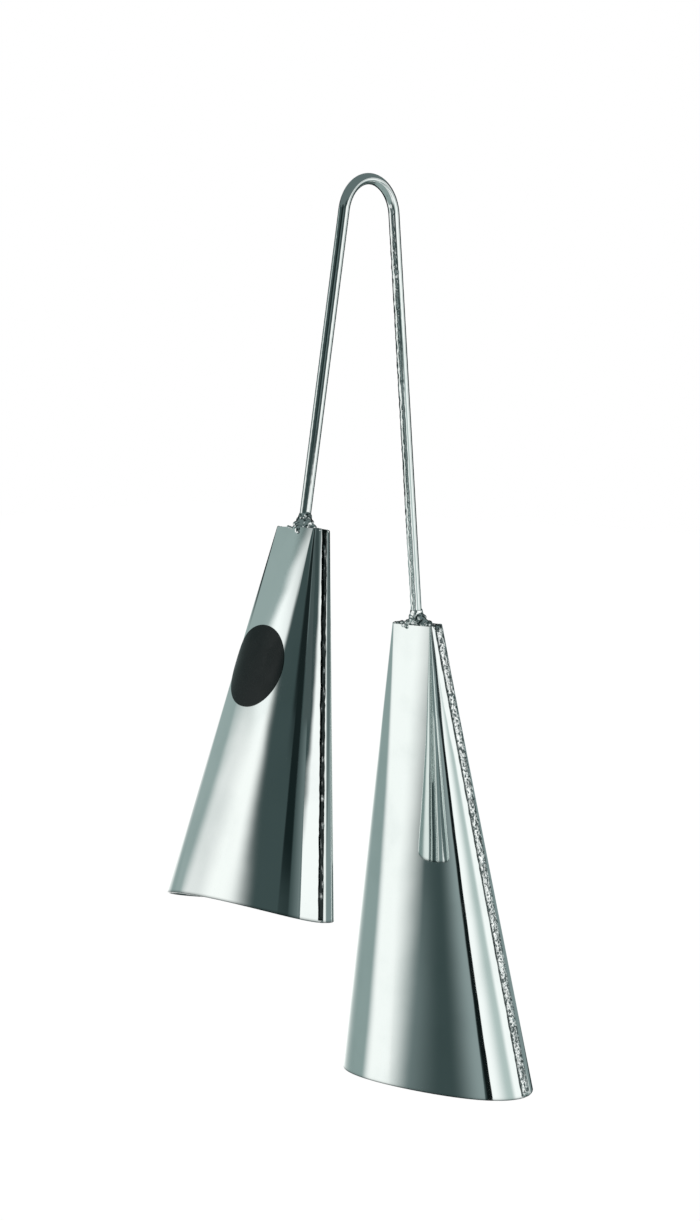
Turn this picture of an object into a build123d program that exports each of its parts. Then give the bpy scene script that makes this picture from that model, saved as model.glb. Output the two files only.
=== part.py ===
from build123d import *
from dataclasses import dataclass
from math import cos, radians, sin
import os

# Agogo bell: a small and a large folded sheet bell on one bent rod.
# It hangs from the inside of the bend, which is the origin. The handle's U lies in the XZ plane,
# the small bell hangs towards -X, the large one towards +X, and both seams face -Y.
# Sizes in millimetres, angles in degrees.

# Handle rod
rod_diameter = 5.0
bend_radius = 16.75          # to the middle of the rod
small_leg_length = 139.5     # straight rod, from the bend to the crown
large_leg_length = 183.5
small_leg_lean = 10.9        # outwards from upright
large_leg_lean = 5.1

# Sheet of both bells
sheet_thickness = 1.0
fold_inner_radius = 0.8      # inside the corners of the flattened crown
mouth_tip_angle = 2.0        # half the short arc where a flat facet runs out at the mouth
seam_gap = 1.0               # between the sheet's two edges, filled by the seam weld
trim_allowance = 4.0         # sheet below the mouth that the arched trim takes away

# Small bell
small_crown_width = 27.2
small_crown_depth = 9.2
small_mouth_width = 96.4
small_mouth_depth = 51.2
small_bell_length = 164.5
small_mouth_arch = 2.8       # the middle of each broad face ends this much higher
small_bell_tilt = 1.4        # outwards from its leg
small_bell_twist = 8.6       # about its own length
small_seam_bead_width = 3.0

# Large bell
large_crown_width = 24.0
large_crown_depth = 8.0
large_mouth_width = 104.0
large_mouth_depth = 54.0
large_bell_length = 213.0
large_mouth_arch = 2.7
large_bell_tilt = -1.1
large_bell_twist = -0.8
large_seam_bead_width = 4.0

# Crown plates and welds
crown_plate_thickness = 1.2
crown_plate_clearance = 0.1
crown_bead_height = 0.6
crown_bead_edge = 0.2        # bead's outer edge, in from the crown's outline
crown_bead_lap = 0.9         # bead's hold on the plate
bead_roundness = 0.8         # rounded share of the crown bead's height
seam_bead_height = 0.9
neck_weld_height = 7.0
neck_weld_width = 13.0
neck_weld_edge = 0.3         # in from the crown's broad faces
neck_weld_lip = 0.35         # thickness where the weld fades out on the rod
neck_weld_waist = 1.1        # thickness on the rod at the middle of its height

# Blank badge on the small bell's outer face
badge_diameter = 36.0
badge_thickness = 0.3
badge_drop = 61.5            # below the crown
badge_shift = 4.0            # away from the seam


@dataclass
class Bell:
    name: str
    plane: Plane             # at the crown: X away from the seam, Y across, Z down the bell
    crown_width: float
    crown_depth: float
    mouth_width: float
    mouth_depth: float
    length: float
    arch: float
    seam_bead_width: float


# Where the legs run, and the planes of the two crowns

rod_radius = rod_diameter / 2
bend_centre = Vector(0, 0, rod_radius - bend_radius)
small_leg_way = Vector(-sin(radians(small_leg_lean)), 0, -cos(radians(small_leg_lean)))
large_leg_way = Vector(sin(radians(large_leg_lean)), 0, -cos(radians(large_leg_lean)))
small_leg_start = bend_centre + Vector(small_leg_way.Z, 0, -small_leg_way.X) * bend_radius
large_leg_start = bend_centre + Vector(-large_leg_way.Z, 0, large_leg_way.X) * bend_radius
small_leg_end = small_leg_start + small_leg_way * small_leg_length
large_leg_end = large_leg_start + large_leg_way * large_leg_length


def crown_plane(leg_end, leg_lean, tilt, side, twist):
    lean = radians(leg_lean + tilt)
    way_down = Vector(side * sin(lean), 0, -cos(lean))
    across = Vector(0, 1, 0).rotate(Axis((0, 0, 0), way_down), twist)
    return Plane(origin=leg_end, x_dir=across, z_dir=way_down)


small_bell = Bell(
    name="small_bell",
    plane=crown_plane(small_leg_end, small_leg_lean, small_bell_tilt, -1, small_bell_twist),
    crown_width=small_crown_width,
    crown_depth=small_crown_depth,
    mouth_width=small_mouth_width,
    mouth_depth=small_mouth_depth,
    length=small_bell_length,
    arch=small_mouth_arch,
    seam_bead_width=small_seam_bead_width,
)
large_bell = Bell(
    name="large_bell",
    plane=crown_plane(large_leg_end, large_leg_lean, large_bell_tilt, 1, large_bell_twist),
    crown_width=large_crown_width,
    crown_depth=large_crown_depth,
    mouth_width=large_mouth_width,
    mouth_depth=large_mouth_depth,
    length=large_bell_length,
    arch=large_mouth_arch,
    seam_bead_width=large_seam_bead_width,
)


# Handle rod, with its ends cut to sit flat on the crowns

small_cut_end = small_leg_end + small_leg_way * rod_radius
large_cut_end = large_leg_end + large_leg_way * rod_radius

with BuildPart() as handle_rod:
    with BuildLine():
        Line(small_cut_end, small_leg_start)
        ThreePointArc(small_leg_start, bend_centre + Vector(0, 0, bend_radius), large_leg_start)
        Line(large_leg_start, large_cut_end)
    with BuildSketch(Plane(origin=small_cut_end, z_dir=-small_leg_way)):
        Circle(rod_radius)
    sweep()
    with BuildSketch(small_bell.plane, large_bell.plane):
        Circle(rod_diameter)
    extrude(amount=rod_diameter, mode=Mode.SUBTRACT)


def folded_body(bell, inset):
    """Solid from the crown's rectangle to the mouth's ellipse, drawn in by inset.

    The crown's four sides run out to short arcs at the ends of the ellipse's axes, as flat facets,
    and its four corners open out into cones that end in the long arcs between.
    """
    grown = trim_allowance / bell.length
    mouth_x = bell.mouth_width / 2 + grown * (bell.mouth_width - bell.crown_width) / 2 - inset
    mouth_y = bell.mouth_depth / 2 + grown * (bell.mouth_depth - bell.crown_depth) / 2 - inset
    corner_radius = fold_inner_radius + sheet_thickness - inset
    with BuildPart() as body:
        with BuildSketch(bell.plane):
            RectangleRounded(bell.crown_width - 2 * inset, bell.crown_depth - 2 * inset, corner_radius)
        with BuildSketch(bell.plane.offset(bell.length + trim_allowance)):
            with BuildLine():
                for quarter in range(4):
                    tip_size = 2 * mouth_tip_angle
                    tip_start = 90 * quarter - mouth_tip_angle
                    tip_end = tip_start + tip_size
                    EllipticalCenterArc((0, 0), mouth_x, mouth_y, tip_start, arc_size=tip_size)
                    EllipticalCenterArc((0, 0), mouth_x, mouth_y, tip_end, arc_size=90 - tip_size)
            make_face()
        loft(ruled=True)
    return body.part


def mouth_trim(bell):
    """Round bar across the bell that leaves its mouth arched on both broad faces."""
    half_width = bell.mouth_width / 2
    arch_radius = (half_width**2 + bell.arch**2) / (2 * bell.arch)
    across = Plane(origin=bell.plane.origin, x_dir=bell.plane.x_dir, z_dir=bell.plane.y_dir)
    with BuildPart() as bar:
        with BuildSketch(across):
            with Locations((0, bell.arch - bell.length - arch_radius)):
                Circle(arch_radius)
        extrude(amount=bell.mouth_depth, both=True)
    return bar.part


def make_shell(bell):
    half_reach = bell.mouth_width / 2 + trim_allowance
    outside = folded_body(bell, 0)
    inside = folded_body(bell, sheet_thickness)
    trim = mouth_trim(bell)
    with BuildPart() as shell:
        add(outside)
        add(inside, mode=Mode.SUBTRACT)
        add(trim, mode=Mode.SUBTRACT)
        with BuildSketch(bell.plane):
            with Locations((-half_reach, 0)):
                Rectangle(
                    half_reach - bell.crown_width / 4, seam_gap, align=(Align.MIN, Align.CENTER)
                )
        extrude(amount=bell.length + trim_allowance, mode=Mode.SUBTRACT)
    shell.part.label = f"{bell.name}_shell"
    export_step(shell.part, f"parts/{bell.name}_shell.step")
    return shell.part


def make_crown_plate(bell):
    inset = sheet_thickness + crown_plate_clearance
    with BuildPart() as plate:
        with BuildSketch(bell.plane):
            RectangleRounded(
                bell.crown_width - 2 * inset, bell.crown_depth - 2 * inset, fold_inner_radius
            )
        extrude(amount=crown_plate_thickness)
    plate.part.label = f"{bell.name}_crown_plate"
    export_step(plate.part, f"parts/{bell.name}_crown_plate.step")


def make_seam_weld(bell, shell):
    """Bead that fills the gap along the seam and stands proud of the sheet."""
    seam_top = bell.plane.from_local_coords(Vector(-bell.crown_width / 2, 0, 0))
    seam_end = bell.plane.from_local_coords(Vector(-bell.mouth_width / 2, 0, bell.length))
    run = seam_end - seam_top
    start = Plane(origin=seam_top, x_dir=bell.plane.y_dir, z_dir=run)
    with BuildPart() as weld:
        with BuildSketch(start):
            with BuildLine():
                EllipticalCenterArc((0, 0), bell.seam_bead_width / 2, seam_bead_height, 0, arc_size=180)
                Polyline(
                    (-bell.seam_bead_width / 2, 0),
                    (-bell.seam_bead_width / 2, -sheet_thickness),
                    (bell.seam_bead_width / 2, -sheet_thickness),
                    (bell.seam_bead_width / 2, 0),
                )
            make_face()
        extrude(amount=run.length)
        add(shell, mode=Mode.SUBTRACT)
    weld.part.label = f"{bell.name}_seam_weld"
    export_step(weld.part, f"parts/{bell.name}_seam_weld.step")


def make_neck_weld(bell):
    """Concave fillet between the rod and the crown, as wide as the crown is deep."""
    foot_depth = bell.crown_depth - 2 * neck_weld_edge
    with BuildPart() as weld:
        with BuildSketch(bell.plane):
            Ellipse(neck_weld_width / 2, foot_depth / 2)
        with BuildSketch(bell.plane.offset(-neck_weld_height / 2)):
            Circle(rod_radius + neck_weld_waist)
        with BuildSketch(bell.plane.offset(-neck_weld_height)):
            Circle(rod_radius + neck_weld_lip)
        loft()
        add(handle_rod.part, mode=Mode.SUBTRACT)
    weld.part.label = f"{bell.name}_neck_weld"
    export_step(weld.part, f"parts/{bell.name}_neck_weld.step")


def make_crown_weld(bell):
    """Two runs of bead over the joint of plate and sheet, one each side of the neck weld."""
    inner_inset = sheet_thickness + crown_bead_lap
    outer_radius = fold_inner_radius + sheet_thickness - crown_bead_edge
    outer_width = bell.crown_width - 2 * crown_bead_edge
    outer_depth = bell.crown_depth - 2 * crown_bead_edge
    with BuildPart() as weld:
        with BuildSketch(bell.plane):
            RectangleRounded(outer_width, outer_depth, outer_radius)
            Rectangle(
                bell.crown_width - 2 * inner_inset, bell.crown_depth - 2 * inner_inset, mode=Mode.SUBTRACT
            )
            Rectangle(neck_weld_width, bell.crown_depth, mode=Mode.SUBTRACT)
        extrude(amount=-crown_bead_height)
        top_faces = weld.faces().sort_by(Axis(bell.plane.origin, bell.plane.z_dir))[:2]
        fillet(top_faces.edges(), crown_bead_height * bead_roundness)
    weld.part.label = f"{bell.name}_crown_weld"
    export_step(weld.part, f"parts/{bell.name}_crown_weld.step")


def make_badge(bell):
    """Blank round badge that follows the outside of the sheet."""
    face_side = Plane(origin=bell.plane.origin, x_dir=bell.plane.x_dir, z_dir=-bell.plane.y_dir)
    outside = folded_body(bell, 0)
    badge_outside = folded_body(bell, -badge_thickness)
    with BuildPart() as badge:
        with BuildSketch(face_side):
            with Locations((badge_shift, badge_drop)):
                Circle(badge_diameter / 2)
        extrude(amount=bell.mouth_depth)
        add(badge_outside, mode=Mode.INTERSECT)
        add(outside, mode=Mode.SUBTRACT)
    badge.part.label = "badge"
    export_step(badge.part, "parts/badge.step")


os.makedirs("parts", exist_ok=True)
handle_rod.part.label = "handle_rod"
export_step(handle_rod.part, "parts/handle_rod.step")
for bell in (small_bell, large_bell):
    shell = make_shell(bell)
    make_crown_plate(bell)
    make_seam_weld(bell, shell)
    make_neck_weld(bell)
    make_crown_weld(bell)
make_badge(small_bell)
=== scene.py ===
import math

import bmesh
import bpy
from mathutils import Matrix, Vector, noise


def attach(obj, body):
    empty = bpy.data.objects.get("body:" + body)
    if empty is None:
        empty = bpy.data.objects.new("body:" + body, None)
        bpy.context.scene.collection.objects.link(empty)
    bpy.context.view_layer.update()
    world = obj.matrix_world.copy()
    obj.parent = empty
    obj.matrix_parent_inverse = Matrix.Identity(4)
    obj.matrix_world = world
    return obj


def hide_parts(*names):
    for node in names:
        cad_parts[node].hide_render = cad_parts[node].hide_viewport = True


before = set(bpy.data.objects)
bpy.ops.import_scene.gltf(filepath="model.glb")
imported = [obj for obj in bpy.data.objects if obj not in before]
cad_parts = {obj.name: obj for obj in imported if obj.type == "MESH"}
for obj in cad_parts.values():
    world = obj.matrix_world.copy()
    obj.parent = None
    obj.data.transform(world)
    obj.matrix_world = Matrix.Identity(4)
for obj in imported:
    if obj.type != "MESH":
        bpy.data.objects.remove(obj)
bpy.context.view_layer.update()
bpy.ops.object.select_all(action="DESELECT")  # the CAD nodes come in selected
print("frame loaded with", len(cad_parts), "nodes")

mm = 0.001  # sizes in the dictionaries are millimetres and degrees
mergeReach = 0.001 * mm  # points nearer than this become one
creaseAngle = math.radians(40)  # edges sharper than this stay crisp


# Small helpers

def editMode():
    bpy.ops.object.mode_set(mode="EDIT")


def objectMode():
    bpy.ops.object.mode_set(mode="OBJECT")


def takeUp(piece):
    bpy.ops.object.select_all(action="DESELECT")
    piece.select_set(True)
    bpy.context.view_layer.objects.active = piece


def nameIt(piece, name):
    piece.name = name
    piece.data.name = name


def pickVerts(piece, test):
    bpy.ops.mesh.select_mode(type="VERT")
    bpy.ops.mesh.select_all(action="DESELECT")
    mesh = bmesh.from_edit_mesh(piece.data)
    for vert in mesh.verts:
        vert.select_set(test(vert.co))
    mesh.select_flush(True)
    bmesh.update_edit_mesh(piece.data)


def pickEdges(piece, test):
    bpy.ops.mesh.select_mode(type="EDGE")
    bpy.ops.mesh.select_all(action="DESELECT")
    mesh = bmesh.from_edit_mesh(piece.data)
    for edge in mesh.edges:
        edge.select_set(test(edge.verts[0].co, edge.verts[1].co))
    bmesh.update_edit_mesh(piece.data)


def pickFaces(piece, test):
    bpy.ops.mesh.select_mode(type="FACE")
    bpy.ops.mesh.select_all(action="DESELECT")
    mesh = bmesh.from_edit_mesh(piece.data)
    for face in mesh.faces:
        face.select_set(test(face.calc_center_median()))
    bmesh.update_edit_mesh(piece.data)


def applyModifier(piece, kind, **settings):
    takeUp(piece)
    modifier = piece.modifiers.new(kind.title(), kind)
    for key, value in settings.items():
        setattr(modifier, key, value)
    bpy.ops.object.modifier_apply(modifier=modifier.name)


def lumpTexture(name, kind, size, **settings):
    texture = bpy.data.textures.new(name, kind)
    texture.noise_scale = size * mm
    for key, value in settings.items():
        setattr(texture, key, value)
    return texture


def settle(piece, place):  # from the bell's own frame into the shared one
    takeUp(piece)
    piece.matrix_world = place
    bpy.ops.object.transform_apply(location=True, rotation=True, scale=True)


def handOver(piece, node, material):
    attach(piece, "root")
    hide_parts(node)
    piece.data.materials.clear()
    piece.data.materials.append(material)


# Finishes, with heights in metres and scales per metre

def addNode(tree, kind, **settings):
    node = tree.nodes.new(kind)
    for key, value in settings.items():
        setattr(node, key, value)
    return node


def feed(tree, value, socket):  # a number is set, another node's output is linked
    if isinstance(value, (int, float)):
        socket.default_value = value
    else:
        tree.links.new(value, socket)


def mathNode(tree, operation, first, second):
    node = addNode(tree, "ShaderNodeMath", operation=operation)
    feed(tree, first, node.inputs[0])
    feed(tree, second, node.inputs[1])
    return node.outputs[0]


def noiseNode(tree, vector, scale, detail):
    node = addNode(tree, "ShaderNodeTexNoise")
    node.inputs["Detail"].default_value = detail
    tree.links.new(vector, node.inputs["Vector"])
    feed(tree, scale, node.inputs["Scale"])
    return node.outputs["Fac"]


def spreadNode(tree, value, fromLow, fromHigh, toLow, toHigh):
    node = addNode(tree, "ShaderNodeMapRange", interpolation_type="SMOOTHSTEP")
    feed(tree, value, node.inputs["Value"])
    feed(tree, fromLow, node.inputs["From Min"])
    feed(tree, fromHigh, node.inputs["From Max"])
    feed(tree, toLow, node.inputs["To Min"])
    feed(tree, toHigh, node.inputs["To Max"])
    return node.outputs["Result"]


def colourMix(tree, factor, first, second):
    node = addNode(tree, "ShaderNodeMix", data_type="RGBA")
    tree.links.new(factor, node.inputs["Factor"])
    for socket, colour in ((node.inputs["A"], first), (node.inputs["B"], second)):
        if isinstance(colour, tuple):
            socket.default_value = (*colour, 1)
        else:
            tree.links.new(colour, socket)
    return node.outputs["Result"]


def newGroup(name, numbers):  # reads a place and some numbers, and gives three values that vary
    tree = bpy.data.node_groups.new(name, "ShaderNodeTree")
    tree.interface.new_socket("Vector", in_out="INPUT", socket_type="NodeSocketVector")
    for label, value in numbers.items():
        socket = tree.interface.new_socket(label, in_out="INPUT", socket_type="NodeSocketFloat")
        socket.default_value = value
    for label in ("Roughness", "Height", "Tone"):
        tree.interface.new_socket(label, in_out="OUTPUT", socket_type="NodeSocketFloat")
    return tree, tree.nodes.new("NodeGroupInput"), tree.nodes.new("NodeGroupOutput")


polish = {  # buffing lines, haze and the gentle waves of hand-folded sheet
    "inputs": {"Line Scale": 900.0, "Wave Scale": 22.0, "Wave Height": 0.00003, "Haze": 0.05},
    "lineStretch": (1.0, 1.0, 0.02),  # lines run down the piece
    "lineDetail": 2.0,
    "lineHeight": 0.0000002,
    "lineRough": 0.035,
    "hazeScale": 38.0,
    "hazeDetail": 5.0,
    "hazeSpan": (0.45, 0.75),
    "waveDetail": 1.5,
    "leastRough": 0.012,
}


def makePolishGroup():
    tree, start, end = newGroup("buffedChrome", polish["inputs"])
    vector = start.outputs["Vector"]
    stretch = addNode(tree, "ShaderNodeVectorMath", operation="MULTIPLY")
    stretch.inputs[1].default_value = polish["lineStretch"]
    tree.links.new(vector, stretch.inputs[0])
    lines = noiseNode(tree, stretch.outputs[0], start.outputs["Line Scale"], polish["lineDetail"])
    patches = noiseNode(tree, vector, polish["hazeScale"], polish["hazeDetail"])
    haze = spreadNode(tree, patches, *polish["hazeSpan"], 0.0, 1.0)
    swell = noiseNode(tree, vector, start.outputs["Wave Scale"], polish["waveDetail"])
    waves = mathNode(tree, "SUBTRACT", swell, 0.5)
    waveHeight = mathNode(tree, "MULTIPLY", waves, start.outputs["Wave Height"])
    lineHeight = mathNode(tree, "MULTIPLY", lines, polish["lineHeight"])
    hazeRough = mathNode(tree, "MULTIPLY", haze, start.outputs["Haze"])
    lineRough = mathNode(tree, "MULTIPLY", lines, polish["lineRough"])
    rough = mathNode(tree, "ADD", mathNode(tree, "ADD", hazeRough, lineRough), polish["leastRough"])
    tree.links.new(rough, end.inputs["Roughness"])
    tree.links.new(mathNode(tree, "ADD", waveHeight, lineHeight), end.inputs["Height"])
    tree.links.new(haze, end.inputs["Tone"])
    return tree


pitsAndShade = {  # pits in weld metal under the plating, with their dips painted dark as shade
    "inputs": {"Pit Scale": 546.0, "Pit Height": 0.0003, "Pit Level": 0.42},
    "pitDetail": 1.0,
    "pitEdge": 0.05,  # how softly a pit begins
    "pitRough": 0.07,
    "leastRough": 0.03,
}


def makePitsAndShadeGroup():
    tree, start, end = newGroup("weldPitsAndShade", pitsAndShade["inputs"])
    pits = noiseNode(tree, start.outputs["Vector"], start.outputs["Pit Scale"], pitsAndShade["pitDetail"])
    low = mathNode(tree, "SUBTRACT", start.outputs["Pit Level"], pitsAndShade["pitEdge"])
    high = mathNode(tree, "ADD", start.outputs["Pit Level"], pitsAndShade["pitEdge"])
    # painted shade: where the pit noise dips, the tone turns the metal dark
    patches = spreadNode(tree, pits, low, high, 1.0, 0.0)
    tree.links.new(mathNode(tree, "MULTIPLY", pits, start.outputs["Pit Height"]), end.inputs["Height"])
    pitRough = mathNode(tree, "MULTIPLY", patches, pitsAndShade["pitRough"])
    tree.links.new(mathNode(tree, "ADD", pitRough, pitsAndShade["leastRough"]), end.inputs["Roughness"])
    tree.links.new(patches, end.inputs["Tone"])
    return tree


buffedChrome = makePolishGroup()
weldPitsAndShade = makePitsAndShadeGroup()


def newMaterial(name):
    material = bpy.data.materials.new(name)
    material.use_nodes = True
    return material, material.node_tree


def addBump(tree, height):
    bump = addNode(tree, "ShaderNodeBump")
    bump.inputs["Distance"].default_value = 1.0  # heights are metres already
    tree.links.new(height, bump.inputs["Height"])
    tree.links.new(bump.outputs["Normal"], tree.nodes["Principled BSDF"].inputs["Normal"])


wearRough = 0.08  # how much rougher metal is where an attribute marks it


def metalFinish(name, group, values, clean, wornAndShaded, wearShadeName=None, shadeColour=None):
    material, tree = newMaterial(name)
    shader = tree.nodes["Principled BSDF"]
    shader.inputs["Metallic"].default_value = 1.0
    place = addNode(tree, "ShaderNodeTexCoord")
    effect = addNode(tree, "ShaderNodeGroup")
    effect.node_tree = group
    tree.links.new(place.outputs["Object"], effect.inputs["Vector"])
    for label, value in values.items():
        effect.inputs[label].default_value = value
    rough = effect.outputs["Roughness"]
    # the group's tone blends clean into darker metal: random haze on sheet and rod, painted shade in the
    # dips of weld pits
    colour = colourMix(tree, effect.outputs["Tone"], clean, wornAndShaded)
    # an attribute mark roughens the metal and paints its colour dark: painted shade along the rim edge and
    # in hollows
    if wearShadeName:
        wearAndShade = addNode(tree, "ShaderNodeAttribute", attribute_name=wearShadeName).outputs["Fac"]
        rough = mathNode(tree, "ADD", rough, mathNode(tree, "MULTIPLY", wearAndShade, wearRough))
        colour = colourMix(tree, wearAndShade, colour, shadeColour)
    tree.links.new(colour, shader.inputs["Base Color"])
    tree.links.new(rough, shader.inputs["Roughness"])
    addBump(tree, effect.outputs["Height"])
    return material


lacquer = {  # noises are a scale and a detail
    "gloss": 0.12,
    "clean": (0.006, 0.010, 0.010),
    "dusty": (0.014, 0.020, 0.020),
    "dust": (900.0, 4.0),
    "dustSpan": (0.6, 0.8),
    "rub": (120.0, 5.0),
    "rubSpan": (0.35, 0.7),
    "rubRough": (0.16, 0.3),
    "ripple": (160.0, 2.0),
    "rippleHeight": 0.00001,
}


def lacquerFinish(name):
    material, tree = newMaterial(name)
    shader = tree.nodes["Principled BSDF"]
    shader.inputs["Specular IOR Level"].default_value = lacquer["gloss"]
    vector = addNode(tree, "ShaderNodeTexCoord").outputs["Object"]
    dust = spreadNode(tree, noiseNode(tree, vector, *lacquer["dust"]), *lacquer["dustSpan"], 0.0, 1.0)
    colour = colourMix(tree, dust, lacquer["clean"], lacquer["dusty"])
    tree.links.new(colour, shader.inputs["Base Color"])
    rubbed = noiseNode(tree, vector, *lacquer["rub"])
    rough = spreadNode(tree, rubbed, *lacquer["rubSpan"], *lacquer["rubRough"])
    tree.links.new(rough, shader.inputs["Roughness"])
    ripple = noiseNode(tree, vector, *lacquer["ripple"])
    addBump(tree, mathNode(tree, "MULTIPLY", ripple, lacquer["rippleHeight"]))
    return material


# the sheet's mouth edge is rougher as wear and painted near-black as a dark edge line, which is painted
# shade
bellChrome = metalFinish(
    "bellChrome", buffedChrome, {"Wave Scale": 34.0, "Wave Height": 0.00012},
    (0.77, 0.81, 0.80), (0.71, 0.755, 0.745), "rimWearAndShade", (0.05, 0.065, 0.065),
)
rodChrome = metalFinish(
    "rodChrome", buffedChrome, {"Wave Scale": 120.0, "Wave Height": 0.00005},
    (0.75, 0.79, 0.78), (0.68, 0.72, 0.71),
)
# weld and bead metal: their hollows and the dips of their pits are painted dark as shade
weldChrome = metalFinish(
    "weldChrome", weldPitsAndShade, {},
    (0.84, 0.87, 0.86), (0.10, 0.13, 0.13), "hollowShade", (0.03, 0.04, 0.04),
)
beadChrome = metalFinish(
    "beadChrome", weldPitsAndShade, {"Pit Scale": 900.0, "Pit Height": 0.00004, "Pit Level": 0.49},
    (0.76, 0.80, 0.79), (0.30, 0.34, 0.34), "hollowShade", (0.02, 0.026, 0.026),
)
sparkChrome = metalFinish(
    "sparkChrome", weldPitsAndShade, {"Pit Scale": 780.0, "Pit Height": 0.0005, "Pit Level": 0.44},
    (0.92, 0.94, 0.93), (0.12, 0.15, 0.15), "hollowShade", (0.10, 0.12, 0.12),
)
badgeBlack = lacquerFinish("badgeBlack")
print("finishes ready")


# Handle rod

handle = {
    "rodRadius": 2.48,
    "bendRadius": 16.75,  # to the middle of the rod
    "smallLeg": 139.5,
    "largeLeg": 183.5,
    "smallLean": 10.9,  # out from upright
    "largeLean": 5.1,
    "sides": 40,
    "bendSteps": 48,
    "legCuts": (20, 12),  # in two goes, since one go stops at a hundred
    "longEdge": 5.0,  # only the legs have edges longer than this
    "dentSize": 2.0,  # drawn rod isn't quite true
    "dentDepth": 0.46,
    "dentStart": 20.0,  # dents grow over this far below the bend
    "dentSide": (-0.66, 0.75, 0),  # the longer leg is rough on this side
    "dentSpread": (0.2, 1.4),  # their share midway round, and its rise towards that side
    "dentLeast": 0.12,  # their share elsewhere
}


def legWay(lean, side):
    return Vector((side * math.sin(math.radians(lean)), 0, -math.cos(math.radians(lean))))


bendCentre = Vector((0, 0, handle["rodRadius"] - handle["bendRadius"])) * mm
smallWay = legWay(handle["smallLean"], -1)
largeWay = legWay(handle["largeLean"], 1)
smallTop = bendCentre + Vector((smallWay.z, 0, -smallWay.x)) * handle["bendRadius"] * mm
largeTop = bendCentre + Vector((-largeWay.z, 0, largeWay.x)) * handle["bendRadius"] * mm
smallEnd = smallTop + smallWay * handle["smallLeg"] * mm
largeEnd = largeTop + largeWay * handle["largeLeg"] * mm


def makeHandle():
    turn = math.radians(180 - handle["smallLean"] - handle["largeLean"])
    bpy.ops.mesh.primitive_circle_add(
        vertices=handle["sides"], radius=handle["rodRadius"] * mm, location=smallEnd,
        rotation=(0, math.radians(handle["smallLean"]), 0),
    )
    rod = bpy.context.object
    nameIt(rod, "handleRod")
    bpy.ops.object.transform_apply(location=True, rotation=True, scale=True)
    editMode()
    bpy.ops.mesh.select_all(action="SELECT")
    bpy.ops.mesh.extrude_region_move(TRANSFORM_OT_translate={"value": smallTop - smallEnd})
    bpy.ops.mesh.spin(steps=handle["bendSteps"], angle=-turn, center=bendCentre, axis=(0, 1, 0))
    bpy.ops.mesh.extrude_region_move(TRANSFORM_OT_translate={"value": largeEnd - largeTop})
    for end in (smallEnd, largeEnd):  # close both ends
        pickVerts(rod, lambda place: (place - end).length < 2 * handle["rodRadius"] * mm)
        bpy.ops.mesh.edge_face_add()
    bpy.ops.mesh.select_all(action="SELECT")
    bpy.ops.mesh.remove_doubles(threshold=mergeReach)
    bpy.ops.mesh.normals_make_consistent(inside=False)
    for cuts in handle["legCuts"]:
        pickEdges(rod, lambda a, b: (a - b).length > handle["longEdge"] * mm)
        bpy.ops.mesh.subdivide(number_cuts=cuts)
    objectMode()
    dented = rod.vertex_groups.new(name="dented")
    midway, rise = handle["dentSpread"]
    for vert in rod.data.vertices:
        onLeg = min(1.0, max(0.0, (bendCentre.z - vert.co.z) / (handle["dentStart"] * mm)))
        share = handle["dentLeast"]
        if vert.co.x > 0:  # the longer leg
            share = min(1.0, max(share, midway + rise * vert.normal.dot(handle["dentSide"])))
        dented.add([vert.index], onLeg * share, "REPLACE")
    dents = lumpTexture("rodDents", "CLOUDS", handle["dentSize"], noise_depth=1)
    applyModifier(
        rod, "DISPLACE", texture=dents, strength=handle["dentDepth"] * mm, mid_level=0.5,
        vertex_group="dented",
    )
    bpy.ops.object.shade_smooth_by_angle(angle=creaseAngle)
    handOver(rod, "handle_rod", rodChrome)
    return rod


handleRod = makeHandle()
print("handle rod bent,", len(handleRod.data.vertices), "points")


# Bells, each modelled in its own frame: x away from the seam, y across, z down from the crown

sheet = {
    "thickness": 1.0,
    "foldRadius": 1.8,  # outside of the crown's corners
    "faceBow": 5.0,  # broad faces turn this far each way, so they aren't quite flat
    "sideBow": 24.0,  # and the narrow sides this far
    "columns": 512,
    "rows": 15,
    "archSteps": 4,  # tries at finding the arched edge on a fold line
    "seamGap": 1.0,
    "seamSearch": 8.0,  # the seam is cut within this of the middle
    "rimRows": 4,  # each halves the last row
    "rimSlack": 0.05,  # points this near the mouth edge are on it
    "rimWearShadeReach": 0.9,  # dulled sheet along the mouth, also painted near-black there as a dark edge line (painted shade)
}
smallBell = {
    "name": "small_bell",
    "crown": (27.2, 9.2),
    "mouth": (96.36, 51.2),
    "length": 164.5,
    "arch": 2.8,  # broad faces end this much higher
    "lean": 12.3,
    "side": -1,
    "twist": 8.6,
    "end": smallEnd,
    "beadWidth": 2.6,
    "beadHeight": 0.75,
    "beadFinish": beadChrome,
    "beadShade": 1.7,  # how much of the bead is painted dark as shade
    "neckSkin": 0.22,  # how lumpy the neck weld's skin is
}
largeBell = {
    "name": "large_bell",
    "crown": (24.0, 8.0),
    "mouth": (103.98, 54.0),
    "length": 212.8,
    "arch": 2.7,
    "lean": 4.0,
    "side": 1,
    "twist": -0.8,
    "end": largeEnd,
    "beadWidth": 5.0,
    "beadHeight": 0.95,
    "beadFinish": sparkChrome,
    "beadShade": 0.0,
    "neckSkin": 0.35,
}


def bellPlace(bell):
    lean = math.radians(bell["lean"])
    down = Vector((bell["side"] * math.sin(lean), 0, -math.cos(lean)))
    turn = Matrix.Rotation(math.radians(bell["twist"]), 3, down)
    along = turn @ Vector((0, 1, 0))
    across = down.cross(along)
    place = Matrix((along, across, down)).transposed().to_4x4()
    place.translation = bell["end"]
    return place


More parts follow.
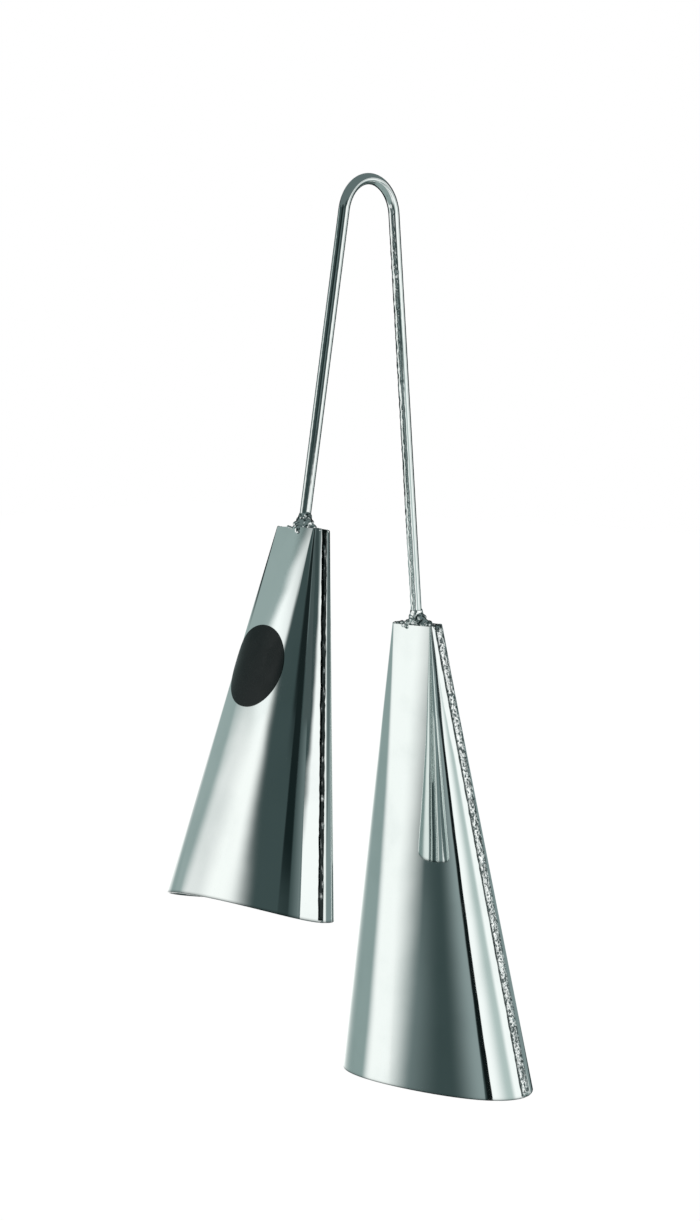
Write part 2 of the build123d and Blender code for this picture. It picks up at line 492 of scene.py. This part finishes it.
def rimDrop(bell, across):  # depth of the arched mouth edge at a distance from the middle
    halfWidth = bell["mouth"][0] / 2
    radius = (halfWidth ** 2 + bell["arch"] ** 2) / (2 * bell["arch"])
    fall = radius - math.sqrt(radius ** 2 - min(across ** 2, halfWidth ** 2))
    return bell["length"] - bell["arch"] + fall


def rimGap(bell, place):  # how far a point lies above the mouth edge
    return rimDrop(bell, place.x / mm) - place.z / mm


def onRim(bell, place):
    return rimGap(bell, place) < sheet["rimSlack"]


def bowedEdge(halfRun, halfDepth, bow, along, outward):  # a crown edge on a wide arc, not straight
    fold = sheet["foldRadius"]
    sweep = halfRun / math.sin(bow) + fold
    sink = (sweep - fold) * math.cos(bow) - halfDepth
    return sweep * along, sweep * outward - sink * math.copysign(1, outward)


def foldLine(bell, angle):  # crown and mouth points whose outward normals agree
    cosine = math.cos(angle)
    sine = math.sin(angle)
    fold = sheet["foldRadius"]
    halfWidth = bell["crown"][0] / 2 - fold
    halfDepth = bell["crown"][1] / 2 - fold
    crownX = math.copysign(halfWidth, cosine) + fold * cosine
    crownY = math.copysign(halfDepth, sine) + fold * sine
    faceBow = math.radians(sheet["faceBow"])
    sideBow = math.radians(sheet["sideBow"])
    if abs(cosine) < math.sin(faceBow):
        crownX, crownY = bowedEdge(halfWidth, halfDepth, faceBow, cosine, sine)
    if abs(sine) < math.sin(sideBow):
        crownY, crownX = bowedEdge(halfDepth, halfWidth, sideBow, sine, cosine)
    halfX = bell["mouth"][0] / 2
    halfY = bell["mouth"][1] / 2
    reach = math.hypot(halfX * cosine, halfY * sine)
    mouthX = halfX ** 2 * cosine / reach
    mouthY = halfY ** 2 * sine / reach
    share = 1.0
    for step in range(sheet["archSteps"]):  # slide down the fold line to the arched edge
        share = rimDrop(bell, crownX + share * (mouthX - crownX)) / bell["length"]
    crown = Vector((crownX, crownY, 0)) * mm
    mouth = Vector((mouthX, mouthY, bell["length"])) * mm
    return crown, crown.lerp(mouth, share)


def makeShell(bell):
    halfStep = math.pi / sheet["columns"]
    halfGap = sheet["seamGap"] / 2 * mm
    bpy.ops.mesh.primitive_cylinder_add(
        vertices=sheet["columns"], radius=1, depth=1, end_fill_type="NOTHING"
    )
    shell = bpy.context.object
    nameIt(shell, bell["name"] + "Sheet")
    editMode()
    mesh = bmesh.from_edit_mesh(shell.data)
    for vert in mesh.verts:
        crown, mouth = foldLine(bell, math.atan2(vert.co.y, vert.co.x) + halfStep)
        vert.co = mouth if vert.co.z > 0 else crown
    bmesh.update_edit_mesh(shell.data)
    middle = bell["length"] / 2 * mm
    pickEdges(shell, lambda a, b: (a.z > middle) != (b.z > middle))
    bpy.ops.mesh.subdivide(number_cuts=sheet["rows"])
    for row in range(sheet["rimRows"]):  # closer rows along the mouth
        pickEdges(shell, lambda a, b: onRim(bell, a) != onRim(bell, b))
        bpy.ops.mesh.subdivide(number_cuts=1)
    for side in (-1, 1):  # open the seam
        pickFaces(shell, lambda spot: spot.x < 0 and abs(spot.y) < sheet["seamSearch"] * mm)
        bpy.ops.mesh.bisect(plane_co=(0, side * halfGap, 0), plane_no=(0, 1, 0))
    pickFaces(shell, lambda spot: spot.x < 0 and abs(spot.y) < halfGap)
    bpy.ops.mesh.delete(type="FACE")
    bpy.ops.mesh.select_all(action="SELECT")
    bpy.ops.mesh.remove_doubles(threshold=mergeReach)
    bpy.ops.mesh.normals_make_consistent(inside=False)
    objectMode()
    applyModifier(shell, "SOLIDIFY", thickness=sheet["thickness"] * mm, offset=-1, use_even_offset=True)
    bpy.ops.object.shade_smooth_by_angle(angle=creaseAngle)
    # along the mouth: wear in the roughness, and a painted dark edge line (painted shade) in the colour
    wearAndShade = shell.data.attributes.new("rimWearAndShade", "FLOAT", "POINT")
    for vert in shell.data.vertices:
        wearAndShade.data[vert.index].value = max(0.0, 1 - rimGap(bell, vert.co) / sheet["rimWearShadeReach"])
    return shell


# Seam beads, one run of rippled weld down each open seam

seamBead = {
    "rootDepth": 1.25,  # bead showing inside the bell
    "sides": 28,
    "cuts": 100,
    "lumpSize": 2.4,
    "lumpHeight": 0.3,
    "crinkleSize": 0.75,
    "crinkleHeight": 0.5,
    "contrast": 6.0,  # of the painted shade between high and low spots
    "flankStart": 0.8,  # painted shade on the flanks starts at this share of the half width
    "flankRise": 5.0,
    "endTrim": 0.85,  # stops short of the mouth
}


def makeSeamBead(bell):
    top = foldLine(bell, math.pi)[0]
    bottom = Vector((-bell["mouth"][0] / 2, 0, bell["length"])) * mm
    bottom = bottom.lerp(top, seamBead["endTrim"] / bell["length"])
    run = bottom - top
    bpy.ops.mesh.primitive_cylinder_add(
        vertices=seamBead["sides"], radius=1, depth=run.length, end_fill_type="NGON"
    )
    bead = bpy.context.object
    nameIt(bead, bell["name"] + "SeamBead")
    editMode()
    pickEdges(bead, lambda a, b: (a.z > 0) != (b.z > 0))
    bpy.ops.mesh.subdivide(number_cuts=seamBead["cuts"])
    bpy.ops.mesh.select_all(action="SELECT")
    bpy.ops.transform.resize(value=(bell["beadHeight"] * mm, bell["beadWidth"] / 2 * mm, 1))
    pickVerts(bead, lambda place: place.x > 0)
    bpy.ops.transform.resize(
        value=(seamBead["rootDepth"] / bell["beadHeight"], 1, 1), center_override=(0, 0, 0)
    )
    objectMode()
    lumps = lumpTexture(bell["name"] + "Lumps", "CLOUDS", seamBead["lumpSize"])
    lumpHeight = seamBead["lumpHeight"] * mm
    applyModifier(bead, "DISPLACE", texture=lumps, strength=lumpHeight, mid_level=0.5)
    crinkle = lumpTexture(bell["name"] + "Crinkle", "CLOUDS", seamBead["crinkleSize"], noise_depth=1)
    crinkleHeight = seamBead["crinkleHeight"] * mm
    applyModifier(bead, "DISPLACE", texture=crinkle, strength=crinkleHeight, mid_level=0.5)
    bpy.ops.object.shade_smooth()
    hollowShade = bead.data.attributes.new("hollowShade", "FLOAT", "POINT")
    for vert in bead.data.vertices:  # low spots and the flanks against the sheet are painted dark as shade
        sideways = abs(vert.co.y) / (bell["beadWidth"] / 2 * mm)
        swell = math.hypot(vert.co.x / (bell["beadHeight"] * mm), sideways) - 1
        flank = (sideways - seamBead["flankStart"]) * seamBead["flankRise"]
        shade = bell["beadShade"] - seamBead["contrast"] * swell
        hollowShade.data[vert.index].value = min(1.0, max(0.0, shade, flank))
    tilt = Matrix.Rotation(math.atan2(run.x, run.z), 4, "Y")
    settle(bead, bellPlace(bell) @ Matrix.Translation((top + bottom) / 2) @ tilt)
    return bead


# Crown beads and neck welds, built up from drops of metal

weldDrop = {
    "roundness": 3,
    "voxel": 0.2,  # drops melt together at this grain
    "smoothing": 4,
    "smoothShare": 0.5,
    "skinSize": 1.8,
    "hollowShadeScale": 12.0,  # how readily a dip is painted dark as shade
}


def addDrop(spot, size):
    bpy.ops.mesh.primitive_ico_sphere_add(
        subdivisions=weldDrop["roundness"], radius=size * mm, location=Vector(spot) * mm
    )
    return bpy.context.object


# painted shade: the weld's concave spots are darkened by how deep they dip
def shadeHollows(weld):
    hollowShade = weld.data.attributes.new("hollowShade", "FLOAT", "POINT")
    mesh = bmesh.new()
    mesh.from_mesh(weld.data)
    mesh.verts.ensure_lookup_table()
    depths = []
    for vert in mesh.verts:
        near = [edge.other_vert(vert).co for edge in vert.link_edges]
        depths.append((sum(near, Vector()) / len(near) - vert.co).dot(vert.normal) / mm)
    for vert in mesh.verts:
        near = [depths[edge.other_vert(vert).index] for edge in vert.link_edges]
        depth = (depths[vert.index] + sum(near)) / (1 + len(near))
        hollowShade.data[vert.index].value = min(1.0, max(0.0, depth * weldDrop["hollowShadeScale"]))
    mesh.free()


def meltTogether(parts, name, skinHeight):
    bpy.ops.object.select_all(action="DESELECT")
    for part in parts:
        part.select_set(True)
    bpy.context.view_layer.objects.active = parts[0]
    bpy.ops.object.join()
    weld = bpy.context.object
    nameIt(weld, name)
    bpy.ops.object.transform_apply(location=True, rotation=True, scale=True)
    applyModifier(weld, "REMESH", mode="VOXEL", voxel_size=weldDrop["voxel"] * mm)
    applyModifier(weld, "SMOOTH", factor=weldDrop["smoothShare"], iterations=weldDrop["smoothing"])
    skin = lumpTexture(name + "Skin", "CLOUDS", weldDrop["skinSize"])
    applyModifier(weld, "DISPLACE", texture=skin, strength=skinHeight * mm, mid_level=0.5)
    bpy.ops.object.shade_smooth()
    shadeHollows(weld)
    return weld


crownBead = {
    "inset": 0.95,
    "endSink": 0.15,  # drops on the narrow ends stand highest
    "endReach": 0.5,
    "edgeSink": 0.5,
    "pitch": 0.75,
    "size": 0.62,
    "vary": 0.2,
    "seed": 5,  # the drops wander alike in each run
    "wanderScale": 0.9,
    "wanderShift": (0.15, 0.12, 0.1),
    "skin": 0.2,
    "neckHalf": 5.6,  # left free for the neck weld
    "seamCap": (  # place and radius of each drop
        (0.4, -2.2, 0.5, 0.9), (0.0, -0.6, 0.8, 1.1), (0.0, 0.9, 0.7, 1.1),
        (0.4, 2.4, 0.4, 0.9), (-0.4, 0.2, 2.2, 0.9),
    ),
}


def makeCrownBead(bell):
    halfX = bell["crown"][0] / 2 - crownBead["inset"]
    halfY = bell["crown"][1] / 2 - crownBead["inset"]
    shiftX, shiftY, shiftZ = crownBead["wanderShift"]
    noise.seed_set(crownBead["seed"])
    drops = []
    for side in (-1, 1):
        runX = halfX - crownBead["neckHalf"]
        total = 2 * runX + 2 * halfY
        count = int(total / crownBead["pitch"])
        for step in range(count + 1):
            along = total * step / count  # out along one edge, across the end and back
            x = crownBead["neckHalf"] + min(along, runX) - max(0.0, along - runX - 2 * halfY)
            y = -halfY + min(max(along - runX, 0.0), 2 * halfY)
            wander = noise.noise_vector(Vector((side * x, y, bell["length"])) * crownBead["wanderScale"])
            size = crownBead["size"] + crownBead["vary"] * wander.z
            atEnd = x > halfX - crownBead["endReach"]
            sink = crownBead["endSink"] if atEnd else crownBead["edgeSink"]
            spot = (side * x + shiftX * wander.x, y + shiftY * wander.y, sink + shiftZ * wander.x)
            drops.append(addDrop(spot, size))
    for x, y, z, size in crownBead["seamCap"]:  # run of metal over the top of the seam
        drops.append(addDrop((x - bell["crown"][0] / 2, y, z), size))
    return meltTogether(drops, bell["name"] + "CrownBead", crownBead["skin"])


neckWeld = {
    "levels": (  # height, half width and how much the crown flattens it
        (0.0, 6.3, 1.0), (0.9, 4.9, 0.9), (2.4, 3.7, 0.5), (4.4, 3.1, 0.15), (6.6, 2.7, 0.0),
    ),
    "sides": 48,
    "crownInset": 0.4,
    "small_bell": (  # place and radius of each drop
        (-2.4, -0.8, -5.9, 1.5), (-1.0, -2.2, -4.6, 1.2), (-3.6, -1.0, -2.4, 2.0), (-4.4, -2.6, -0.6, 1.5),
        (1.4, -2.0, -3.6, 1.3), (2.0, -2.8, -1.6, 1.4), (0.2, -3.6, -0.6, 1.3), (-1.8, -4.3, 0.2, 1.4),
        (-2.2, -4.3, 1.0, 2.0), (-3.4, -4.5, 2.1, 1.3), (1.6, -4.9, 0.5, 0.8), (3.4, -4.8, 0.2, 0.75),
        (5.0, -4.4, -0.1, 0.7), (-5.2, 1.0, -0.8, 1.6), (2.0, 2.2, -1.8, 1.9), (-1.5, 2.4, -3.2, 1.4),
        (4.6, 0.4, -0.9, 1.5),
    ),
    "large_bell": (
        (1.6, -1.6, -3.6, 1.4), (0.6, -2.4, -2.0, 1.6), (-2.4, -0.6, -3.2, 1.9), (-4.0, -0.8, -2.0, 1.9),
        (-5.6, -0.9, -1.0, 1.7), (-7.4, -1.0, -0.3, 1.4), (-3.4, -2.6, -0.8, 1.5), (-5.6, -2.8, -0.1, 1.1),
        (2.6, -3.0, -0.8, 1.6), (3.6, -3.9, 0.2, 1.3), (2.2, -4.3, 0.9, 1.1), (4.8, -4.1, 0.4, 0.9),
        (6.2, -2.6, -0.3, 1.1), (8.8, -3.2, -0.2, 0.75), (9.9, -3.0, -0.3, 0.7), (10.7, -2.4, -0.1, 0.7),
        (2.2, 1.6, -2.4, 1.8), (-2.0, 2.0, -2.6, 1.7), (5.4, 1.4, -0.4, 1.3), (-6.0, 1.4, -0.4, 1.4),
    ),
}


def makeNeckWeld(bell):
    firstWidth = neckWeld["levels"][0][1]
    bpy.ops.mesh.primitive_circle_add(vertices=neckWeld["sides"], radius=firstWidth * mm, fill_type="NGON")
    fillet = bpy.context.object
    editMode()
    bpy.ops.mesh.select_all(action="SELECT")
    lastHeight = 0.0
    lastX = firstWidth
    lastY = firstWidth
    for height, width, flat in neckWeld["levels"]:
        depth = width + flat * (bell["crown"][1] / 2 - neckWeld["crownInset"] - width)
        if height:
            bpy.ops.mesh.extrude_region_move(
                TRANSFORM_OT_translate={"value": (0, 0, -(height - lastHeight) * mm)}
            )
        bpy.ops.transform.resize(value=(width / lastX, depth / lastY, 1))
        lastHeight = height
        lastX = width
        lastY = depth
    bpy.ops.mesh.select_all(action="SELECT")
    bpy.ops.mesh.normals_make_consistent(inside=False)
    objectMode()
    drops = [addDrop(lump[:3], lump[3]) for lump in neckWeld[bell["name"]]]
    return meltTogether([fillet] + drops, bell["name"] + "NeckWeld", bell["neckSkin"])


# Blank badge, pressed onto the small bell's outer face

badge = {
    "radius": 18.0,
    "thickness": 0.3,
    "drop": 61.5,  # its middle, down from the crown
    "shift": 4.0,  # and away from the seam
    "standOff": 10.0,  # starts clear of the bell, then is pressed on
    "sides": 128,
    "rings": 17,
}


def makeBadge(shell):
    start = Vector((badge["shift"], -smallBell["mouth"][1] / 2 - badge["standOff"], badge["drop"]))
    bpy.ops.mesh.primitive_circle_add(
        vertices=badge["sides"], radius=badge["radius"] * mm, fill_type="NGON",
        location=start * mm, rotation=(math.radians(90), 0, 0),
    )
    disc = bpy.context.object
    nameIt(disc, "badgeDisc")
    bpy.ops.object.transform_apply(location=True, rotation=True, scale=True)
    editMode()
    bpy.ops.mesh.select_all(action="SELECT")
    for ring in range(badge["rings"]):
        bpy.ops.mesh.inset(thickness=badge["radius"] / (badge["rings"] + 1) * mm)
    bpy.ops.mesh.poke()
    objectMode()
    applyModifier(
        disc, "SHRINKWRAP", target=shell, wrap_method="PROJECT", use_project_y=True,
        use_positive_direction=True, use_negative_direction=False, offset=0.0,
    )
    editMode()
    bpy.ops.mesh.select_all(action="SELECT")
    bpy.ops.mesh.normals_make_consistent(inside=False)
    objectMode()
    return disc


smallShell = makeShell(smallBell)
largeShell = makeShell(largeBell)
print("bell sheets folded,", len(smallShell.data.polygons), "and", len(largeShell.data.polygons), "faces")

badgeDisc = makeBadge(smallShell)
outwards = badgeDisc.data.polygons[0].normal.y < 0
applyModifier(
    badgeDisc, "SOLIDIFY", thickness=badge["thickness"] * mm,
    offset=1 if outwards else -1, use_even_offset=True,
)
bpy.ops.object.shade_smooth_by_angle(angle=creaseAngle)
settle(badgeDisc, bellPlace(smallBell))
handOver(badgeDisc, "badge", badgeBlack)
print("badge pressed on")

for bell, shell in ((smallBell, smallShell), (largeBell, largeShell)):
    settle(shell, bellPlace(bell))
    handOver(shell, bell["name"] + "_shell", bellChrome)
    bead = makeSeamBead(bell)
    handOver(bead, bell["name"] + "_seam_weld", bell["beadFinish"])
    crown = makeCrownBead(bell)
    settle(crown, bellPlace(bell))
    handOver(crown, bell["name"] + "_crown_weld", weldChrome)
    neck = makeNeckWeld(bell)
    settle(neck, bellPlace(bell))
    handOver(neck, bell["name"] + "_neck_weld", weldChrome)
    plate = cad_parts[bell["name"] + "_crown_plate"]
    plate.data.materials.clear()
    plate.data.materials.append(weldChrome)
    print(bell["name"], "welded:", [len(piece.data.polygons) for piece in (bead, crown, neck)], "faces")


# Camera, at the photograph's angle

view = {
    "azimuth": -48.494,
    "elevation": 6.161,
    "distance": 1364.16,
    "aim": (-5.518, 6.235, -186.91),
    "lens": 90.87,
    "sensor": 36,
    "clip": (50, 60000),
}
aim = Vector(view["aim"]) * mm
azimuth = math.radians(view["azimuth"])
elevation = math.radians(view["elevation"])
back = Vector(
    (math.sin(azimuth) * math.cos(elevation), -math.cos(azimuth) * math.cos(elevation), math.sin(elevation))
)
bpy.ops.object.camera_add(location=aim + back * view["distance"] * mm)
camera = bpy.context.object
camera.rotation_euler = (-back).to_track_quat("-Z", "Y").to_euler()
camera.data.lens = view["lens"]
camera.data.sensor_width = view["sensor"]
camera.data.clip_start = view["clip"][0] * mm
camera.data.clip_end = view["clip"][1] * mm
bpy.context.scene.camera = camera
bpy.context.scene.view_settings.view_transform = "Standard"
print("camera set")


# Studio: white all round, a floor well below the bells, and cards that show only in the chrome

studio = {
    "fillLight": 0.55,  # the white all round lights the bells this much, and looks like 1
    "floorHeight": -750,
    "floorSize": 12000,
    "floorColour": (0.9, 0.9, 0.9),
    "floorRough": 0.9,
    "floorGlow": 1.02,
    "floorShare": 0.97,  # the rest keeps the shadow
    "cardCentre": (-5, 6, 0),
    "cardGrid": (24, 4),
    "cardReach": 1000,
    "cardStep": 20,  # each card stands this much further out than the last
    "farReach": 940,
    "nearReach": 150,
    "closeStep": 5,
    "lampReach": 1600,
    "lampSize": 1200,
}


def seenNode(tree):  # 1 for what is looked at, in the chrome too, and 0 for what only lights
    path = addNode(tree, "ShaderNodeLightPath")
    seen = mathNode(tree, "MAXIMUM", path.outputs["Is Camera Ray"], path.outputs["Is Glossy Ray"])
    return mathNode(tree, "MAXIMUM", seen, path.outputs["Is Transmission Ray"])


def whiteWorld():
    world = bpy.data.worlds.new("studioWhite")
    bpy.context.scene.world = world
    world.use_nodes = True
    tree = world.node_tree
    ground = tree.nodes["Background"]
    ground.inputs["Color"].default_value = (1, 1, 1, 1)
    level = addNode(tree, "ShaderNodeMapRange")
    tree.links.new(seenNode(tree), level.inputs["Value"])
    level.inputs["To Min"].default_value = studio["fillLight"]
    level.inputs["To Max"].default_value = 1.0
    tree.links.new(level.outputs["Result"], ground.inputs["Strength"])


def shaderBlend(tree, factor, first, second):
    blend = addNode(tree, "ShaderNodeMixShader")
    tree.links.new(factor, blend.inputs["Fac"])
    tree.links.new(first.outputs[0], blend.inputs[1])
    tree.links.new(second.outputs[0], blend.inputs[2])
    tree.links.new(blend.outputs["Shader"], tree.nodes["Material Output"].inputs["Surface"])
    return blend


def paleFloor():
    bpy.ops.mesh.primitive_plane_add(
        size=studio["floorSize"] * mm, location=(0, 0, studio["floorHeight"] * mm)
    )
    floor = bpy.context.object
    nameIt(floor, "studioFloor")
    material, tree = newMaterial("floorWhite")
    shader = tree.nodes["Principled BSDF"]
    shader.inputs["Base Color"].default_value = (*studio["floorColour"], 1)
    shader.inputs["Roughness"].default_value = studio["floorRough"]
    glow = addNode(tree, "ShaderNodeEmission")
    glow.inputs["Strength"].default_value = studio["floorGlow"]
    share = mathNode(tree, "MULTIPLY", seenNode(tree), studio["floorShare"])
    white = shaderBlend(tree, share, shader, glow)
    clear = addNode(tree, "ShaderNodeBsdfTransparent")
    side = addNode(tree, "ShaderNodeNewGeometry")
    shaderBlend(tree, side.outputs["Backfacing"], white, clear)  # see-through from underneath
    floor.data.materials.append(material)


# Each card: from and to, in degrees round from the camera, its foot and head, how far the head leans over,
# its light, and the soft share of its left, right, upper and lower edge. A card hides those after it.
cards = {
    "blackStripTop": ((-50, -12), (215, 560), -6, (0.012, 0.020, 0.020), (0.3, 0.2, 0.1, 0.3)),
    "blackStripHigh": ((-34, -13), (90, 470), -8, (0.010, 0.019, 0.019), (0.15, 0.2, 0.1, 0.3)),
    "blackStripLow": ((-13, -1), (-580, -240), -20, (0.006, 0.010, 0.010), (0.3, 0.1, 0.1, 0.1)),
    "blackStripTurn": ((-13, 2), (-280, -90), 30, (0.03, 0.045, 0.045), (0.2, 0.2, 0.1, 0.1)),
    "glowHigh": ((-16, 11), (40, 420), -8, (0.17, 0.22, 0.22), (0.9, 0.02, 0.4, 0.05)),
    "farShade": ((94, 180), (-745, -400), 0, (0.24, 0.31, 0.31), (0.1, 0.02, 0.1, 0.02)),
    "seamGlow": ((90, 108), (-400, 60), 0, (1.1, 1.12, 1.1), (0.2, 0.4, 0.1, 0.1)),
    "farDark": ((104, 160), (-300, 60), 0, (0.12, 0.16, 0.16), (0.2, 0.5, 0.1, 0.1)),
    "tipShade": ((-94, -10), (-30, 330), -40, (0.056, 0.086, 0.086), (0.44, 0.02, 0.15, 0.25)),
    "softboxTip": ((-102, -84), (95, 335), 12, (1.17, 1.20, 1.19), (0.25, 0.4, 0.15, 0.3)),
    "rightSoftboxHigh": ((7, 84), (-160, 350), -8, (1.19, 1.20, 1.19), (0.04, 0.05, 0.2, 0.05)),
    "liftLow": ((-46, -8), (-740, -200), -12, (0.30, 0.37, 0.37), (0.9, 0.05, 0.1, 0.05)),
    "greyStrip": ((0, 58), (-640, -60), -24, (0.56, 0.66, 0.64), (0.6, 0.3, 0.1, 0.2)),
    "rightSoftboxLow": ((-4, 88), (-740, -120), -22, (1.17, 1.19, 1.18), (0.02, 0.05, 0.02, 0.02)),
    "softboxCore": ((-106, -70), (-240, 300), 8, (1.19, 1.20, 1.18), (0.35, 0.5, 0.2, 0.1)),
    "leftSoftboxHigh": ((-117, -52), (-240, 260), 26, (0.93, 0.95, 0.94), (0.14, 0.2, 0.35, 0.1)),
    "leftSoftboxLow": ((-107, -64), (-745, -190), 22, (1.16, 1.18, 1.16), (0.3, 0.5, 0.1, 0.02)),
    "tailLow": ((-86, -48), (-745, -400), 8, (0.22, 0.28, 0.28), (0.05, 0.95, 0.6, 0.02)),
    "darkHigh": ((-100, 60), (-150, 600), -30, (0.056, 0.086, 0.086), (0.12, 0.02, 0.05, 0.1)),
    "darkLow": ((-90, 0), (-745, -130), 5, (0.052, 0.080, 0.080), (0.1, 0.02, 0.05, 0.01)),
    "greySideHigh": ((-172, -86), (-320, 420), 30, (0.36, 0.45, 0.44), (0.3, 0.2, 0.1, 0.1)),
    "greySideLow": ((-172, -92), (-745, -200), 16, (0.31, 0.40, 0.39), (0.35, 0.2, 0.02, 0.02)),
    "farGrey": ((82, 178), (-740, 260), 0, (0.24, 0.31, 0.31), (0.03, 0.2, 0.2, 0.02)),
}
farCards = {  # met on the second bounce, in the small bell that the large one mirrors
    "farWhite": ((164, 228), (-640, -330), 0, (1.20, 1.22, 1.20), (0.1, 0.75, 0.1, 0.1)),
    "farBlack": ((130, 164), (-660, -530), 0, (0.02, 0.03, 0.03), (0.25, 0.15, 0.25, 0.05)),
    "farLine": ((112, 130), (-625, -475), 0, (1.0, 1.02, 1.0), (0.2, 0.2, 0.15, 0.1)),
    "farSide": ((50, 92), (-540, -415), 0, (0.14, 0.19, 0.19), (0.2, 0.1, 0.15, 0.1)),
}
nearCards = {  # small flags close in front of the handle
    "rodFlag": ((4, 42), (-130, 80), 0, (0.05, 0.075, 0.075), (0.1, 0.3, 0.1, 0.2)),
    "rodBack": ((110, 246), (-185, 60), 0, (0.02, 0.03, 0.03), (0.08, 0.08, 0.1, 0.1)),
    "legFlag": ((-14, 12), (-185, -70), 0, (0.08, 0.11, 0.11), (0.1, 0.2, 0.1, 0.1)),
}


def chromeOnly(piece, light):  # a stage piece that shows in the chrome and nowhere else
    material, tree = newMaterial(piece.name)
    tree.nodes.remove(tree.nodes["Principled BSDF"])
    glow = addNode(tree, "ShaderNodeEmission")
    glow.inputs["Color"].default_value = (*light, 1)
    tree.links.new(glow.outputs["Emission"], tree.nodes["Material Output"].inputs["Surface"])
    piece.data.materials.append(material)
    piece.visible_camera = False
    piece.visible_diffuse = False
    piece.visible_shadow = False
    piece.visible_transmission = False
    return tree, glow


def softenEdges(tree, glow, softShares):  # fade a card out towards its four edges
    softLeft, softRight, softTop, softFoot = softShares
    place = addNode(tree, "ShaderNodeTexCoord")
    axes = addNode(tree, "ShaderNodeSeparateXYZ")
    tree.links.new(place.outputs["UV"], axes.inputs["Vector"])
    sideways = axes.outputs["X"]
    upwards = axes.outputs["Y"]
    cover = spreadNode(tree, sideways, 0.0, softLeft, 0.0, 1.0)
    cover = mathNode(tree, "MULTIPLY", cover, spreadNode(tree, sideways, 1.0 - softRight, 1.0, 1.0, 0.0))
    cover = mathNode(tree, "MULTIPLY", cover, spreadNode(tree, upwards, 1.0 - softTop, 1.0, 1.0, 0.0))
    cover = mathNode(tree, "MULTIPLY", cover, spreadNode(tree, upwards, 0.0, softFoot, 0.0, 1.0))
    shaderBlend(tree, cover, addNode(tree, "ShaderNodeBsdfTransparent"), glow)


def addCard(name, plan, reach):
    (left, right), (foot, head), lean, light, softShares = plan
    centre = Vector(studio["cardCentre"]) * mm
    columns, rows = studio["cardGrid"]
    bpy.ops.mesh.primitive_grid_add(x_subdivisions=columns, y_subdivisions=rows, size=1)
    card = bpy.context.object
    nameIt(card, name)
    editMode()
    mesh = bmesh.from_edit_mesh(card.data)
    for vert in mesh.verts:  # bend the grid round the bells
        across = vert.co.x + 0.5
        upward = vert.co.y + 0.5
        turn = math.radians(view["azimuth"] + left + across * (right - left) + lean * (upward - 0.5))
        rise = (foot + upward * (head - foot)) * mm
        vert.co = centre + Vector((math.sin(turn) * reach, -math.cos(turn) * reach, rise))
    bmesh.update_edit_mesh(card.data)
    objectMode()
    tree, glow = chromeOnly(card, light)
    softenEdges(tree, glow, softShares)


panels = {  # level ones: height, size and light
    "ceiling": (900, 6000, (0.15, 0.195, 0.195)),
    "groundShade": (-742, 1700, (0.32, 0.40, 0.39)),
}


def addPanel(name):
    height, size, light = panels[name]
    bpy.ops.mesh.primitive_plane_add(size=size * mm, location=(0, 0, height * mm))
    panel = bpy.context.object
    nameIt(panel, name)
    chromeOnly(panel, light)


lamps = {  # degrees round from the camera, height above the aim and power
    "keyLamp": (-95, 1000, 14),
    "fillLamp": (45, 800, 9),
}


def softLamp(name):
    angle, height, power = lamps[name]
    turn = math.radians(view["azimuth"] + angle)
    reach = studio["lampReach"]
    spot = aim + Vector((math.sin(turn) * reach, -math.cos(turn) * reach, height)) * mm
    bpy.ops.object.light_add(type="AREA", location=spot)
    lamp = bpy.context.object
    lamp.name = name
    lamp.data.size = studio["lampSize"] * mm
    lamp.data.energy = power
    lamp.rotation_euler = (aim - spot).to_track_quat("-Z", "Y").to_euler()
    lamp.visible_glossy = False  # the cards stand in for it in the chrome


whiteWorld()
paleFloor()
for plans, reach, step in (
    (cards, studio["cardReach"], studio["cardStep"]),
    (farCards, studio["farReach"], studio["closeStep"]),
    (nearCards, studio["nearReach"], studio["closeStep"]),
):
    for order, name in enumerate(plans):
        addCard(name, plans[name], (reach + step * order) * mm)
for name in panels:
    addPanel(name)
for name in lamps:
    softLamp(name)
print("studio built,", len(cards) + len(farCards) + len(nearCards), "cards")
